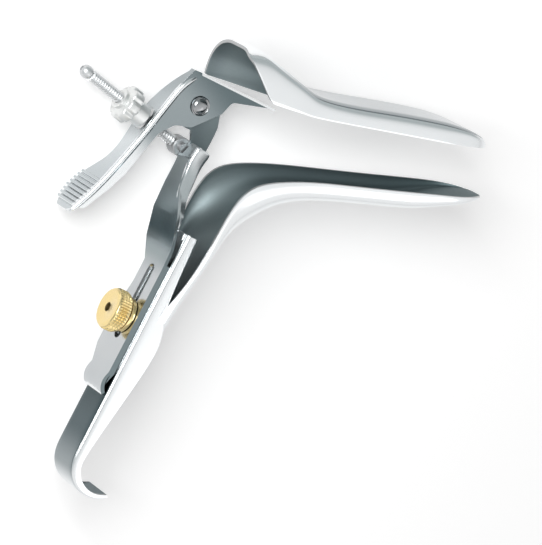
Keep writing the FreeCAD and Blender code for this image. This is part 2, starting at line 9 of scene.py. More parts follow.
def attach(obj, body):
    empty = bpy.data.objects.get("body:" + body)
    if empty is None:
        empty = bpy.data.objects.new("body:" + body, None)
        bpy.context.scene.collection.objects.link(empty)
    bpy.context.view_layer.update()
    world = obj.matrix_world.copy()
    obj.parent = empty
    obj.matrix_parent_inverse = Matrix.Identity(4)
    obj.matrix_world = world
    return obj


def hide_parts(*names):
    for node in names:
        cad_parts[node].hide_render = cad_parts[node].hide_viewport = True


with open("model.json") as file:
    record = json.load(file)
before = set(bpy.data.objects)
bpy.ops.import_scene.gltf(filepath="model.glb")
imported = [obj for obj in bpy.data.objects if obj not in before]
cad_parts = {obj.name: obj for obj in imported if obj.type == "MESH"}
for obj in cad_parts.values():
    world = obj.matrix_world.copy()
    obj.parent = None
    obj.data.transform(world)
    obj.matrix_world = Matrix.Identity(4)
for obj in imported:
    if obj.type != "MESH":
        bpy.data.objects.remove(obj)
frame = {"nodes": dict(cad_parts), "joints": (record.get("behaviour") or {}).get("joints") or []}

bl_info = {
    "name": "Bivalve speculum",
    "version": (1, 0, 0),
    "blender": (4, 5, 0),
    "location": "View3D > Sidebar > Speculum",
    "description": "Dresses the packed speculum in smooth pressed steel, brass and its stage",
    "category": "Object",
}

MM = 0.001
WELD = 1e-6
JOINTS = {joint["name"]: joint for joint in frame["joints"]}
# In mm: how far the hinge lies below the blades' middle plane, and how high over that plane the
# swivel's middle and the near face of the lever's ear lie.
HINGE_DEPTH = 19.45
SWIVEL_Z = -25
FOLD_Z = -17.9
# The handle's head, in mm from the hinge's middle, and its lean from the blades' direction.
HEAD_X, HEAD_Y = -9.3, -54.6
LEAN = math.radians(108.0)
# How far down the handle the clamp stud stands, and how far back the knob's seat is, in mm.
STUD_T, SEAT_K = 36.8, 5.5
SCREW_LENGTH = 55.8
ACROSS = (0, 0, 1)

HINGE = Vector(JOINTS["upper_hinge"]["pos_m"]) + Vector((0, 0, HINGE_DEPTH * MM))
DOWN = Vector(JOINTS["frame_slide"]["axis"])
BACK = Vector(JOINTS["knob_turn"]["axis"])
SCREW = Vector(JOINTS["nut_travel"]["axis"])
SWIVEL = Vector(JOINTS["screw_swivel"]["pos_m"])
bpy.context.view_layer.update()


def at(x, y, z):
    """Point x along the blades, y up and z across them, in mm from the hinge's middle."""
    return HINGE + Vector((x, y, z)) * MM


def on_handle(t, k, z=0.0):
    """Point t down the handle and k towards the operator, in mm from the handle's head."""
    return at(HEAD_X, HEAD_Y, z) + DOWN * (t * MM) + BACK * (k * MM)


def table(rows, x):
    """Smooth value at x from (x, value) rows."""
    if x <= rows[0][0]:
        return rows[0][1]
    for i in range(len(rows) - 1):
        x0, v0 = rows[i]
        x1, v1 = rows[i + 1]
        if x <= x1:
            h = x1 - x0
            m0 = (v1 - v0) / h
            m1 = m0
            if i > 0:
                m0 = (v1 - rows[i - 1][1]) / (x1 - rows[i - 1][0])
            if i + 2 < len(rows):
                m1 = (rows[i + 2][1] - v0) / (rows[i + 2][0] - x0)
            s = (x - x0) / h
            a, b = 1 - s, s
            return (v0 * a * a * (1 + 2 * s) + v1 * b * b * (3 - 2 * s)
                    + h * (m0 * s * a * a - m1 * b * b * a))
    return rows[-1][1]


def deselect():
    """Leaves edit mode and clears the selection."""
    if bpy.context.object and bpy.context.object.mode != "OBJECT":
        bpy.ops.object.mode_set(mode="OBJECT")
    bpy.ops.object.select_all(action="DESELECT")


def start_edit():
    """Opens the active piece's mesh with all of it selected."""
    bpy.ops.object.mode_set(mode="EDIT")
    bpy.ops.mesh.select_all(action="SELECT")


def end_edit():
    """Turns all faces outwards and closes the mesh."""
    bpy.ops.mesh.select_all(action="SELECT")
    bpy.ops.mesh.normals_make_consistent(inside=False)
    bpy.ops.object.mode_set(mode="OBJECT")


def set_along(piece, axis, centre):
    """Turns a piece made along Z to the axis, then moves it to the centre."""
    piece.data.transform(Vector(axis).to_track_quat("Z", "Y").to_matrix().to_4x4())
    piece.data.transform(Matrix.Translation(centre))


def sheet_grid(name, rows):
    """A grid laid along the rows of points, which all have as many points."""
    deselect()
    n, m = len(rows), len(rows[0])
    bpy.ops.mesh.primitive_grid_add(x_subdivisions=m - 1, y_subdivisions=n - 1, size=1)
    piece = bpy.context.object
    piece.name = name
    points = sorted(piece.data.vertices, key=lambda v: (round(v.co.y, 5), round(v.co.x, 5)))
    if len(points) != n * m:
        raise RuntimeError("the grid has %d points, not %d" % (len(points), n * m))
    for i, row in enumerate(rows):
        for j, point in enumerate(row):
            points[i * m + j].co = point
    return piece


def add(piece, kind, **settings):
    """Adds a modifier of that kind with its settings."""
    mod = piece.modifiers.new(kind.title(), kind)
    for key, value in settings.items():
        setattr(mod, key, value)


def apply_all(piece):
    """Applies the piece's modifiers in their order."""
    deselect()
    bpy.context.view_layer.objects.active = piece
    piece.select_set(True)
    for mod in list(piece.modifiers):
        bpy.ops.object.modifier_apply(modifier=mod.name)


def press(piece, thickness, towards, rim=0.3):
    """Rounds a sheet, thickens it on the side of the point towards, and eases its rims.

    The outside is polished, the inside gets painted shade and the rims are rougher like a cut edge
    and painted darker as an outline.
    """
    for name in ("polished_steel", "shaded_steel", "edge_steel"):
        piece.data.materials.append(finish(name))
    add(piece, "SUBSURF", levels=2, render_levels=2)
    apply_all(piece)
    face = piece.data.polygons[len(piece.data.polygons) // 2]
    if (Vector(towards) - face.center).dot(face.normal) > 0:
        start_edit()
        bpy.ops.mesh.flip_normals()
        bpy.ops.object.mode_set(mode="OBJECT")
    add(piece, "SOLIDIFY", thickness=thickness * MM, offset=-1, use_even_offset=True,
        material_offset=1, material_offset_rim=2)
    apply_all(piece)
    add(piece, "BEVEL", width=rim * MM, segments=2, limit_method="ANGLE",
        angle_limit=math.radians(50))
    apply_all(piece)


def finish_where(piece, name, test):
    """Gives that finish to the faces whose middle and normal pass the test."""
    index = len(piece.data.materials)
    piece.data.materials.append(finish(name))
    for face in piece.data.polygons:
        if test(face.center, face.normal):
            face.material_index = index


def finish_piece(piece, name, body, slot, *nodes, angle=35):
    """Smooths a piece, gives it its finish and body, and hides the nodes it stands for. The slot
    is not used.
    """
    deselect()
    bpy.context.view_layer.objects.active = piece
    piece.select_set(True)
    bpy.ops.object.transform_apply(location=True, rotation=True, scale=True)
    bpy.ops.object.shade_smooth_by_angle(angle=math.radians(angle))
    if name:
        piece.data.materials.clear()
        piece.data.materials.append(finish(name))
    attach(piece, body)
    if nodes:
        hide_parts(*nodes)


# Finishes

def colour_ramp(nodes, stops, blend="LINEAR"):
    """A ramp node with its (place, colour) stops."""
    ramp = nodes.new("ShaderNodeValToRGB")
    ramp.color_ramp.interpolation = blend
    marks = ramp.color_ramp.elements
    while len(marks) < len(stops):
        marks.new(0.5)
    for mark, (place, colour) in zip(marks, stops):
        mark.position = place
        mark.color = (*colour, 1)
    return ramp


def metal(name, colour, roughness, grain=0.02, scale=220.0, scratch=0.02, stretch=(1, 1, 1)):
    """Metal with a cloudy polish and fine marks drawn out along one direction."""
    mat = bpy.data.materials.new(name)
    mat.use_nodes = True
    nodes, links = mat.node_tree.nodes, mat.node_tree.links
    shader = nodes["Principled BSDF"]
    shader.inputs["Metallic"].default_value = 1.0
    spot = nodes.new("ShaderNodeTexCoord")
    turn = nodes.new("ShaderNodeMapping")
    turn.inputs["Scale"].default_value = stretch
    links.new(spot.outputs["Object"], turn.inputs["Vector"])
    noises = []
    for share, detail in ((0.25, 4), (6, 3)):
        noise = nodes.new("ShaderNodeTexNoise")
        noise.inputs["Scale"].default_value = scale * share
        noise.inputs["Detail"].default_value = detail
        links.new(turn.outputs["Vector"], noise.inputs["Vector"])
        noises.append(noise)
    cloud, fine = noises
    dull = [c * share for c, share in zip(colour, (0.93, 0.94, 0.95))]
    tint = colour_ramp(nodes, [(0.3, dull), (0.7, colour)])
    links.new(cloud.outputs["Fac"], tint.inputs["Fac"])
    links.new(tint.outputs["Color"], shader.inputs["Base Color"])
    wear = nodes.new("ShaderNodeMapRange")
    wear.inputs["From Min"].default_value = 0.3
    wear.inputs["From Max"].default_value = 0.75
    wear.inputs["To Min"].default_value = roughness
    wear.inputs["To Max"].default_value = roughness + grain
    links.new(fine.outputs["Fac"], wear.inputs["Value"])
    links.new(wear.outputs["Result"], shader.inputs["Roughness"])
    bump = nodes.new("ShaderNodeBump")
    bump.inputs["Strength"].default_value = scratch
    bump.inputs["Distance"].default_value = 0.00005
    links.new(fine.outputs["Fac"], bump.inputs["Height"])
    links.new(bump.outputs["Normal"], shader.inputs["Normal"])
    return mat


def paint_light_along(mat, start, end, stops):
    """Paints light and shade into the metal's colour along a line between two points of the
    object: painted shade where the ramp darkens it, painted highlight where it is lighter than
    around it.
    """
    nodes, links = mat.node_tree.nodes, mat.node_tree.links
    shader = nodes["Principled BSDF"]
    line = Vector(end) - Vector(start)
    spot = nodes.new("ShaderNodeTexCoord")
    from_start = nodes.new("ShaderNodeVectorMath")
    from_start.operation = "SUBTRACT"
    from_start.inputs[1].default_value = start
    links.new(spot.outputs["Object"], from_start.inputs[0])
    share = nodes.new("ShaderNodeVectorMath")
    share.operation = "DOT_PRODUCT"
    share.inputs[1].default_value = line / line.length_squared
    links.new(from_start.outputs["Vector"], share.inputs[0])
    ramp = colour_ramp(nodes, stops, "EASE")
    links.new(share.outputs["Value"], ramp.inputs["Fac"])
    mix = nodes.new("ShaderNodeMix")
    mix.data_type = "RGBA"
    mix.blend_type = "MULTIPLY"
    mix.inputs["Factor"].default_value = 1.0
    old = shader.inputs["Base Color"].links[0].from_socket
    links.new(old, mix.inputs["A"])
    links.new(ramp.outputs["Color"], mix.inputs["B"])
    links.new(mix.outputs["Result"], shader.inputs["Base Color"])


# Tones for the painted light and shade of the graded finishes: LIGHT keeps the colour as it is,
# MIDDLE and DARK darken it as painted shade. LIGHT is also the bright side of the surroundings.
LIGHT = (1.0, 1.0, 1.0)
MIDDLE = (0.36, 0.40, 0.41)
DARK = (0.10, 0.135, 0.145)
# The polish marks of sheet steel are drawn out along the blades.
SHEET = {"stretch": (0.4, 1, 1)}

# Each finish: the user's colour that it starts from, the share of that colour it keeps (below 1,
# a darker copy that is painted shade), its roughness, what else metal() is told, and for a graded
# one the two ends of the line along which its painted shade and highlight change, with the stops
# between them.
FINISHES = {
    "polished_steel": ("steel", 1.0, 0.07, {"grain": 0.05, **SHEET}, None),
    # Inner faces: the same steel painted darker, painted shade, with a painted highlight at the
    # flare and darker towards the tip.
    "shaded_steel": ("shaded", 1.0, 0.5, {"grain": 0.06, **SHEET}, (
        at(0, 0, 0), at(128, 0, 0),
        [(0.0, (0.75, 0.76, 0.77)), (0.07, LIGHT), (0.30, (0.56, 0.60, 0.61)),
         (0.9, (0.46, 0.52, 0.53))])),
    # The handle's web: painted shade, darkest under the frame's foot, lighter with a painted
    # highlight round the hook.
    "handle_web_steel": ("steel", 1.0, 0.12, {"grain": 0.05, **SHEET}, (
        on_handle(0, 0), on_handle(120, 0),
        [(0.45, LIGHT), (0.52, (0.05, 0.07, 0.075)), (0.72, (0.10, 0.13, 0.14)),
         (0.86, (0.30, 0.33, 0.34)), (0.93, (0.75, 0.76, 0.77)), (1.0, MIDDLE)])),
    # The lever's ear: painted shade, dark by the hinge and lighter towards its lower end.
    "ear_steel": ("steel", 1.0, 0.16, {"grain": 0.06, **SHEET}, (
        at(8, 12, 0), at(-36, -36, 0),
        [(0.0, (0.16, 0.20, 0.21)), (0.30, MIDDLE), (0.55, MIDDLE), (0.80, LIGHT)])),
    # The neck's face towards the operator: painted shade, darkest near the handle's head.
    "neck_steel": ("steel", 1.0, 0.14, {"grain": 0.06, **SHEET}, (
        on_handle(-34, 0), on_handle(30, 0),
        [(0.0, MIDDLE), (0.25, (0.24, 0.28, 0.29)), (0.50, DARK), (0.64, MIDDLE),
         (0.80, (0.60, 0.61, 0.62))])),
    # The upper blade's roof: painted shade, light at the mouth and grey beyond.
    "roof_steel": ("steel", 1.0, 0.14, {"grain": 0.05, **SHEET}, (
        at(0, 0, 0), at(120, 0, 0),
        [(0.08, LIGHT), (0.30, (0.42, 0.44, 0.45)), (1.0, (0.42, 0.44, 0.45))])),
    # The lever's strip: painted shade, grey with lighter and darker bands along it.
    "strip_steel": ("steel", 1.0, 0.2, {"grain": 0.06, **SHEET}, (
        at(-6, 8, 0), at(-62, -50, 0),
        [(0.0, (0.42, 0.45, 0.46)), (0.35, (0.70, 0.72, 0.73)), (0.75, (0.56, 0.58, 0.59)),
         (1.0, (0.66, 0.68, 0.69))])),
    # Rims: rougher like a cut edge, and painted at half brightness as a dark outline, painted
    # shade.
    "edge_steel": ("steel", 0.5, 0.3, {"grain": 0.08}, None),
    "turned_steel": ("turned", 1.0, 0.22, {"grain": 0.08, "scratch": 0.1}, None),
    # The rivet: turned steel painted at about half brightness, painted shade.
    "rivet_steel": ("turned", 0.55, 0.14, {"grain": 0.08, "scratch": 0.05}, None),
    # The swivel eye and pin: a rougher turned steel painted darker, painted shade.
    "eye_steel": ("turned", 0.62, 0.42, {"grain": 0.08, "scratch": 0.05}, None),
    "satin_steel": ("satin", 1.0, 0.62, {"grain": 0.1, "scratch": 0.3, "scale": 500}, None),
    "brass": ("brass", 1.0, 0.16, {"grain": 0.08, "scratch": 0.1}, None),
    # The knob's eye: brass painted dark, painted shade in the hole.
    "hollow_brass": ("brass", 0.22, 0.5, {}, None),
}


def finish(name):
    """The finish of that name, made at its first use."""
    mat = bpy.data.materials.get(name)
    if mat is None:
        key, share, roughness, marks, line = FINISHES[name]
        colour = [c * share for c in getattr(bpy.context.scene.speculum_finish, key)]
        mat = metal(name, colour, roughness, **marks)
        # A finish with a line gets painted light and shade along it.
        if line:
            paint_light_along(mat, *line)
    return mat


# Sizes and colours that a user may change

def length_setting(name, text, value, low, high):
    return bpy.props.FloatProperty(name=name, description=text + ", in mm", default=value,
                                   min=low, max=high)


def colour_setting(name, text, value):
    return bpy.props.FloatVectorProperty(name=name, description=text, subtype="COLOR", size=3,
                                         default=value, min=0, max=1)


class SpeculumSizes(bpy.types.PropertyGroup):
    blade_half: length_setting(
        "Blade half width", "Half the width of both blades past the flare", 16.0, 12.0, 20.0)
    blade_sheet: length_setting("Blade sheet", "Thickness of the blades' steel", 1.3, 0.6, 2.0)
    roof_crease: length_setting(
        "Roof crease", "Bend radius between the upper blade's roof and walls", 3.6, 1.5, 8.0)
    handle_half: length_setting(
        "Handle half width", "Half the width of the handle's channel", 10.0, 7.0, 13.0)
    handle_sheet: length_setting("Handle sheet", "Thickness of the handle's steel", 1.6, 0.8, 2.5)
    thread_pitch: length_setting(
        "Thread pitch", "Pitch of the angle screw's thread", 1.25, 0.6, 2.0)
    knurls: bpy.props.IntProperty(
        name="Knurls", description="Ridges of the knurl round the clamp knob",
        default=44, min=24, max=80)


class SpeculumFinish(bpy.types.PropertyGroup):
    steel: colour_setting(
        "Polished steel", "Colour of the mirror-polished sheet", (0.90, 0.915, 0.92))
    # This colour is painted shade: the inner faces are the same polished steel, drawn darker.
    shaded: colour_setting(
        "Inner steel", "Colour of the inner faces, which are darker", (0.27, 0.32, 0.33))
    turned: colour_setting(
        "Turned steel", "Colour of the screw and the rivets", (0.70, 0.71, 0.72))
    satin: colour_setting("Satin steel", "Colour of the blasted nut", (0.84, 0.85, 0.85))
    brass: colour_setting("Brass", "Colour of the clamp knob and its washer", (0.90, 0.68, 0.30))
    floor: colour_setting("Floor", "Colour of the floor", (0.92, 0.92, 0.92))


# Pieces

def around(rim, back, half, radius, far=None):
    """Points round a channel's section from its near rim to its far rim, each (side, point)."""
    rim = Vector(rim)
    back = Vector(back)
    drop = back - rim
    deep = drop.length
    drop.normalize()
    arc = [math.radians(a) for a in (0, 22, 45, 68, 90)]
    walls = []
    for bend in (radius, radius if far is None else far):
        wall = [(half, 0.0), (half, (deep - bend) * 0.5)]
        for a in arc:
            wall.append((half - bend + bend * math.cos(a), deep - bend + bend * math.sin(a)))
        wall.append(((half - bend) * 0.5, deep))
        walls.append(wall)
    full = walls[0] + [(0.0, deep)] + [(-w, d) for w, d in reversed(walls[1])]
    return [(w, rim + drop * d) for w, d in full]


def handle_xy(t, k):
    """The same point as on_handle(t, k), as x and y in mm from the hinge's middle."""
    return (HEAD_X + t * math.cos(LEAN) - k * math.sin(LEAN),
            HEAD_Y - t * math.sin(LEAN) - k * math.cos(LEAN))


class SPECULUM_OT_lower_blade(bpy.types.Operator):
    """Lower blade: one pressed sheet from its rounded tip through the flare to the handle"""
    bl_idname = "speculum.lower_blade"
    bl_label = "Lower blade"

    def execute(self, context):
        size = context.scene.speculum_sizes
        half = size.blade_half
        rim, base, tip = -20.4, -28.7, 129.7
        xy = handle_xy
        # The tip is half an ellipse, whose rim drops at its end and whose wall grows slowly.
        nose, blunt = 20.6, 0.6
        stations = []
        for d in (0.0, 0.3, 1.0, 2.2, 4.0, 6.6, 10.0, 14.0, 19.0, 26.0):
            width = half * math.sqrt(1 - max(0.0, 1 - (d + blunt) / nose) ** 2)
            deep = 0.5 + 7.6 * min(1.0, d / 34.0) ** 0.95
            low = rim + 0.3 - 1.3 * math.exp(-d / 2.5)
            stations.append(((tip - d, low), (tip - d - 0.4, low - deep), width,
                             min(6.0, deep * 0.8, width * 0.5)))
        stations += [
            ((93, rim + 0.2), (93, base + 0.2), half, 6.2),
            ((80, rim), (80, base), half, 6.4),
            ((60, rim), (60, base - 0.1), half, 6.4),
            ((43, rim), (43, base - 0.9), half + 0.2, 7.0),
            ((28, rim - 1.0), (29.5, base - 4.0), 17.7, 9.4),
            ((16, rim - 3.0), (21, base - 10.6), 18.6, 13.0),
            ((9.4, rim - 8.0), (14.4, base - 16.4), 18.8, 14.6),
            ((5.2, rim - 16.2), (9.6, base - 20.8), 18.8, 12.0),
            ((1.6, -46.5), (5.6, -54.0), 18.5, 7.6),
            (xy(2.5, -8.1), xy(3.5, -12.6), 17.2, 3.9),
            (xy(14.5, -8.2), xy(15.5, -12.9), 14.0, 4.4),
            (xy(25, -7.0), xy(26, -13.0), 11.0, 4.6),
            (xy(38, -5.0), xy(38.5, -12.4), 9.4, 4.0),
        ]
        rows = []
        for low, high, width, radius in stations:
            rows.append([at(p.x, p.y, side) for side, p in around(low, high, width, radius)])
        piece = sheet_grid("lower_blade_sheet", rows)
        press(piece, size.blade_sheet, at(70, 0, 0))
        finish_piece(piece, None, "handle_body", "polished_steel", "lower_blade")
        return {"FINISHED"}


def mouth_x(z, y):
    """Where the upper blade's mouth lies: square across the roof, slanted down the near wall."""
    start = table([(-19, -1.0), (6, 0.0), (13, 0.6), (19, 1.0)], z)
    near = min(1.0, max(0.0, (z - 8.0) / 7.0))
    return start + near * max(0.0, 30.0 - y) * 0.72


class SPECULUM_OT_upper_blade(bpy.types.Operator):
    """Upper blade: a creased roof between two walls, with a slanted, lipped mouth"""
    bl_idname = "speculum.upper_blade"
    bl_label = "Upper blade"

    def execute(self, context):
        size = context.scene.speculum_sizes
        tip, top = 126.5, 32.5
        wide = size.blade_half
        low = [(-4, 14.4), (9, 12.2), (19.5, 10.2), (29, 8.5), (38, 6.9), (54, 5.7), (80, 4.0),
               (98.5, 2.8), (111.5, 1.9), (119.5, 1.3), (123.5, 0.7), (tip, 0.0)]
        high = [(-4, top + 0.2), (9, top - 0.9), (19.5, top - 6.9), (29, top - 12.3),
                (38, top - 16.7), (54, top - 19.0), (80, top - 19.9), (98.5, top - 21.2),
                (111.5, top - 23.4), (119.5, top - 26.0), (123.5, top - 28.0), (tip, top - 30.4)]
        half = [(-4, 18.2), (9, 18.0), (19.5, 17.6), (29, wide + 1.2), (38, wide + 0.5),
                (54, wide), (98.5, wide), (106, 15.6), (113, 14.2), (118, 12.4), (122, 10.0),
                (125, 7.0), (tip, 4.2)]
        crease = size.roof_crease
        bend = [(-4, 7.5), (9, 6.0), (19.5, 4.6), (29, crease), (98.5, crease), (111.5, 2.6),
                (121, 1.8), (tip, 0.5)]
        dome = [(-4, 17.2), (9, 16.0), (19.5, 11.0), (29, 6.4), (38, crease), (98.5, crease),
                (111.5, 2.6), (121, 1.8), (tip, 0.5)]
        rows = []

        def ring(x):
            return around((x, table(low, x)), (x, table(high, x)), table(half, x),
                          table(bend, x), table(dome, x))

        # Rows before x = square are slanted, so that the first of them lies along the mouth.
        first, square = -1.0, 38
        for x in (first, 2.5, 6.0, 10.0, 14.5, 19.5, 24.0, 29, 33.5, square, 46, 60, 80, 98.5,
                  105, 111.5, 116, 119.5, 122.5, 124.8, 126.2, tip + 0.4):
            row = []
            for j, (side, p) in enumerate(ring(x)):
                real = x
                for _ in range(3):
                    if x < square:
                        start = mouth_x(side, p.y)
                        real = start + (x - first) / (square - first) * (square - start)
                    side, p = ring(real)[j]
                lip = max(0.0, 1 - (x - first) / 5.0) * max(0.0, 1 - abs(j - 4) / 3.0)
                row.append(at(p.x - 1.0 * lip, p.y + 0.1 * lip, side + 1.6 * lip))
            rows.append(row)
        piece = sheet_grid("upper_blade_sheet", rows)
        press(piece, size.blade_sheet, at(70, -20, 0))
        # Painted shade on the roof's upward faces.
        finish_where(piece, "roof_steel", lambda spot, normal: normal.y > 0.6)
        finish_piece(piece, None, "upper_body", "polished_steel", "upper_blade")
        return {"FINISHED"}


class SPECULUM_OT_handle(bpy.types.Operator):
    """Handle: a channel that narrows to a flat strip and turns back in a hook"""
    bl_idname = "speculum.handle"
    bl_label = "Handle"

    def execute(self, context):
        size = context.scene.speculum_sizes
        wide = size.handle_half
        hook_t, hook_r, sweep = 97.6, 14.7, 128.0
        deep = [(-5, 5.2), (26, 7.0), (33, 9.6), (38, 11.4), (43, 12.3), (48, 12.2), (59.6, 10.8),
                (75.6, 8.2), (91.6, 5.8), (97.6, 5.2), (112, 3.8), (130, 3.0)]
        rows = []
        stops = [-5, -4, 6, 16, 24, 29, 33, 37.5, 42, 48, 60, 72, 84, 92, 97.6]
        arc = math.radians(sweep) * hook_r
        stops += [hook_t + arc * share
                  for share in (0.12, 0.25, 0.38, 0.5, 0.62, 0.75, 0.87, 0.97, 1.0)]
        for s in stops:
            turn = max(0.0, s - hook_t) / hook_r
            depth = table(deep, s)
            if s > hook_t + arc * 0.5:
                depth *= 1 - 0.45 * (s - hook_t - arc * 0.5) / (arc * 0.5)
            corner = min(2.4, depth * 0.45)
            row = []
            for side, p in around((0.0, -depth), (0.0, 0.0), wide, corner):
                t, k = s, p.y
                if turn > 0:
                    r = hook_r + k
                    t, k = hook_t + r * math.sin(turn), -hook_r + r * math.cos(turn)
                row.append(on_handle(t, k, side))
            rows.append(row)
        piece = sheet_grid("handle_channel", rows)
        press(piece, size.handle_sheet, on_handle(20, -30, 0))
        centre = on_handle(hook_t, -hook_r)

        # Painted shade on the web's faces towards the operator and on the outside of the hook.
        def on_web(spot, normal):
            out = spot - centre
            out.z = 0
            past = (spot - centre).dot(DOWN) > 0
            return normal.dot(out.normalized() if past else BACK) > 0.75

        finish_where(piece, "handle_web_steel", on_web)
        finish_piece(piece, None, "handle_body", "polished_steel", "handle")
        return {"FINISHED"}


def round_bar(name, outline, axis, centre, sides=64):
    """A turned piece: (distance along axis, radius) outline spun about the axis through centre."""
    deselect()
    bpy.ops.mesh.primitive_circle_add(vertices=sides, radius=outline[0][1] * MM,
                                      fill_type="NOTHING", location=(0, 0, outline[0][0] * MM))
    piece = bpy.context.object
    piece.name = name
    bpy.ops.object.transform_apply(location=True)
    start_edit()
    bpy.ops.mesh.edge_face_add()
    for (h0, r0), (h1, r1) in zip(outline, outline[1:]):
        bpy.ops.mesh.extrude_region_move(TRANSFORM_OT_translate={"value": (0, 0, (h1 - h0) * MM)})
        grow = r1 / r0
        bpy.ops.transform.resize(value=(grow, grow, 1), center_override=(0, 0, h1 * MM))
    bpy.ops.mesh.select_all(action="SELECT")
    bpy.ops.mesh.remove_doubles(threshold=WELD)
    end_edit()
    set_along(piece, axis, centre)
    return piece


def eased_copy(name, material, body, slot, bevel=0.3, shape=None):
    """A merged copy of a solid with eased edges, which stands for it."""
    deselect()
    node = frame["nodes"][name]
    piece = bpy.data.objects.new(name + "_eased", node.data.copy())
    bpy.context.scene.collection.objects.link(piece)
    bpy.context.view_layer.objects.active = piece
    piece.select_set(True)
    start_edit()
    bpy.ops.mesh.remove_doubles(threshold=0.000005)
    bpy.ops.mesh.dissolve_limited(angle_limit=math.radians(1.0))
    if shape:
        shape(piece)
    bpy.ops.object.mode_set(mode="OBJECT")
    if piece.data.has_custom_normals:
        bpy.ops.mesh.customdata_custom_splitnormals_clear()
    add(piece, "BEVEL", width=bevel * MM, segments=2, limit_method="ANGLE",
        angle_limit=math.radians(35), use_clamp_overlap=True)
    apply_all(piece)
    finish_piece(piece, material, body, slot, name)
    add(piece, "WEIGHTED_NORMAL", keep_sharp=True, weight=80)
    apply_all(piece)
    return piece


def deepen_neck(piece):
    """Draws the neck's side flange down towards the blade."""
    above, below, ahead, aside, draw = -14, 8, 1.4, -8, 3.6
    bpy.ops.mesh.select_all(action="DESELECT")
    mesh = bmesh.from_edit_mesh(piece.data)
    head = on_handle(0, 0)
    for v in mesh.verts:
        from_head = v.co - head
        t, k = from_head.dot(DOWN) / MM, from_head.dot(BACK) / MM
        v.select = above < t < below and k < ahead and v.co.z < at(0, 0, aside).z
    mesh.select_flush(True)
    bmesh.update_edit_mesh(piece.data)
    bpy.ops.transform.translate(value=BACK * (-draw * MM))


def round_fold(piece):
    """Rounds the long fold between the lever's strip and its ear."""
    bpy.ops.mesh.select_all(action="DESELECT")
    bpy.ops.mesh.select_mode(type="EDGE")
    mesh = bmesh.from_edit_mesh(piece.data)
    front, close, shortest = at(0, 0, FOLD_Z).z, 0.05 * MM, 0.2 * MM
    for edge in mesh.edges:
        if len(edge.link_faces) != 2 or any(abs(v.co.z - front) > close for v in edge.verts):
            continue
        strip, ear = sorted((f.normal for f in edge.link_faces), key=lambda n: n.z)
        if ear.z > 0.95 and abs(strip.z) < 0.3 and strip.x < -0.3 and strip.y > -0.2:
            edge.select = edge.calc_length() > shortest
    bmesh.update_edit_mesh(piece.data)
    bpy.ops.mesh.bevel(offset=1.5 * MM, segments=5, profile=0.5, clamp_overlap=True)


def neck_flange():
    """The curved flange along the near side of the frame's neck."""
    # Each row: its place down the handle, back and across, and how far it reaches forwards.
    edge = [(-39, 3.6, -10.2, 7.0), (-35, 4.6, -10.1, 6.8), (-30, 4.9, -9.6, 6.2),
            (-25, 4.6, -8.0, 5.6), (-20, 4.9, -6.0, 5.0), (-16, 4.8, -3.6, 4.2),
            (-12.7, 4.3, -0.4, 3.4), (-9.5, 4.0, 2.4, 2.8), (-6, 3.8, 3.2, 2.4),
            (-1.5, 3.7, 3.3, 1.8)]
    rows = []
    for t, k, z, deep in edge:
        bend = 2.2 if deep > 3 else 1.2
        section = [(0.8, -2.8), (-0.15, -1.7), (-0.1, -0.6), (0.7, 0.25), (bend, 0.4), (deep, 0.3)]
        rows.append([on_handle(t, k - forwards, z + across) for forwards, across in section])
    flange = sheet_grid("neck_flange", rows)
    press(flange, 1.2, on_handle(-20, -2, -20), rim=0.25)
    finish_piece(flange, None, "frame_body", "polished_steel")


class SPECULUM_OT_frame(bpy.types.Operator):
    """Sliding frame with its neck's flange, the stud and the washer"""
    bl_idname = "speculum.frame"
    bl_label = "Sliding frame"

    def execute(self, context):
        yoke = eased_copy("frame_yoke", "polished_steel", "frame_body", "polished_steel",
                          bevel=0.35, shape=deepen_neck)
        # Painted shade on the yoke's upward faces outside the middle band across, and on the
        # neck's face towards the operator.
        near, far = at(0, 0, 6).z, at(0, 0, -19).z
        finish_where(yoke, "shaded_steel", lambda spot, normal: normal.z > 0.75
                     and (spot.z < far or spot.z > near))
        finish_where(yoke, "neck_steel", lambda spot, normal: normal.dot(BACK) > 0.8)
        neck_flange()
        eased_copy("clamp_washer", "brass", "handle_body", "brass", bevel=0.25)
        stud = frame["nodes"]["clamp_stud"]
        stud.data.materials.clear()
        stud.data.materials.append(finish("turned_steel"))
        return {"FINISHED"}


def fold_roll():
    """The round bead along the fold between the lever's strip and its ear."""
    fold = [(-3.2, 13.6), (-6.6, 11.6), (-9.8, 8.8), (-12.3, 5.4), (-15.2, 0.6), (-19.3, -6.5),
            (-23.4, -13.7), (-27.2, -19.6), (-30.9, -25.4), (-34.6, -30.8), (-38.2, -36.0),
            (-43.1, -42.1), (-49.1, -48.4), (-50.9, -50.2)]
    last = len(fold) - 1
    inset, middle, thick, end = 1.2, -18.8, 1.6, 0.5
    ring = [math.radians(a) for a in range(0, 361, 30)]
    rows = []
    for i, (x, y) in enumerate(fold):
        ahead = Vector(fold[min(i + 1, last)]) - Vector(fold[max(i - 1, 0)])
        side = Vector((-ahead.y, ahead.x)).normalized()
        if side.x > 0:
            side = -side
        r = thick if 0 < i < last else end
        row = []
        for a in ring:
            out = r * math.cos(a) - inset
            row.append(at(x + side.x * out, y + side.y * out, middle + r * math.sin(a)))
        rows.append(row)
    roll = sheet_grid("lever_fold_roll", rows)
    start_edit()
    bpy.ops.mesh.remove_doubles(threshold=WELD)
    bpy.ops.mesh.fill_holes(sides=0)
    end_edit()
    add(roll, "SUBSURF", levels=2, render_levels=2)
    apply_all(roll)
    finish_piece(roll, "polished_steel", "upper_body", "polished_steel", angle=60)


